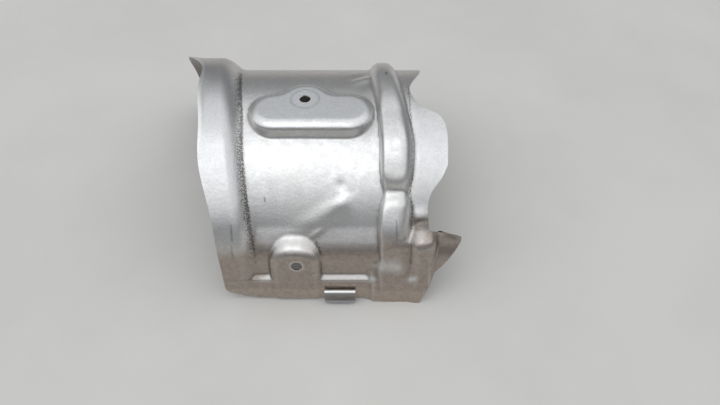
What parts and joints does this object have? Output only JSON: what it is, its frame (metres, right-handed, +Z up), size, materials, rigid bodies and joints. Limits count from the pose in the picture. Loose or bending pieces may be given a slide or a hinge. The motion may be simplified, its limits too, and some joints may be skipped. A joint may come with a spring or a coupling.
{
  "type": "exhaust heat shield",
  "caption": "Pressed sheet-steel arch that covers an exhaust pipe, with a raised collar, a half-round bead, a bolt pad, a bolt boss, a side tail and a spring clip on its near edge.",
  "frame": {"origin": "middle of the bounding box, on the surface that the shield lies on", "axes": "+Z up out of the crown, +X along the arch towards the bead and the tail, -Y to the clipped edge"},
  "size_m": [0.1966, 0.1984, 0.0983],
  "materials": {
    "aluminised_steel": "semi-matte aluminised sheet, mottled and worn at the creases",
    "spring_steel": "bright rolled spring strip"
  },
  "bodies": {
    "root": {"heat_shield": "aluminised_steel", "edge_clip": "spring_steel"}
  },
  "joints": []
}
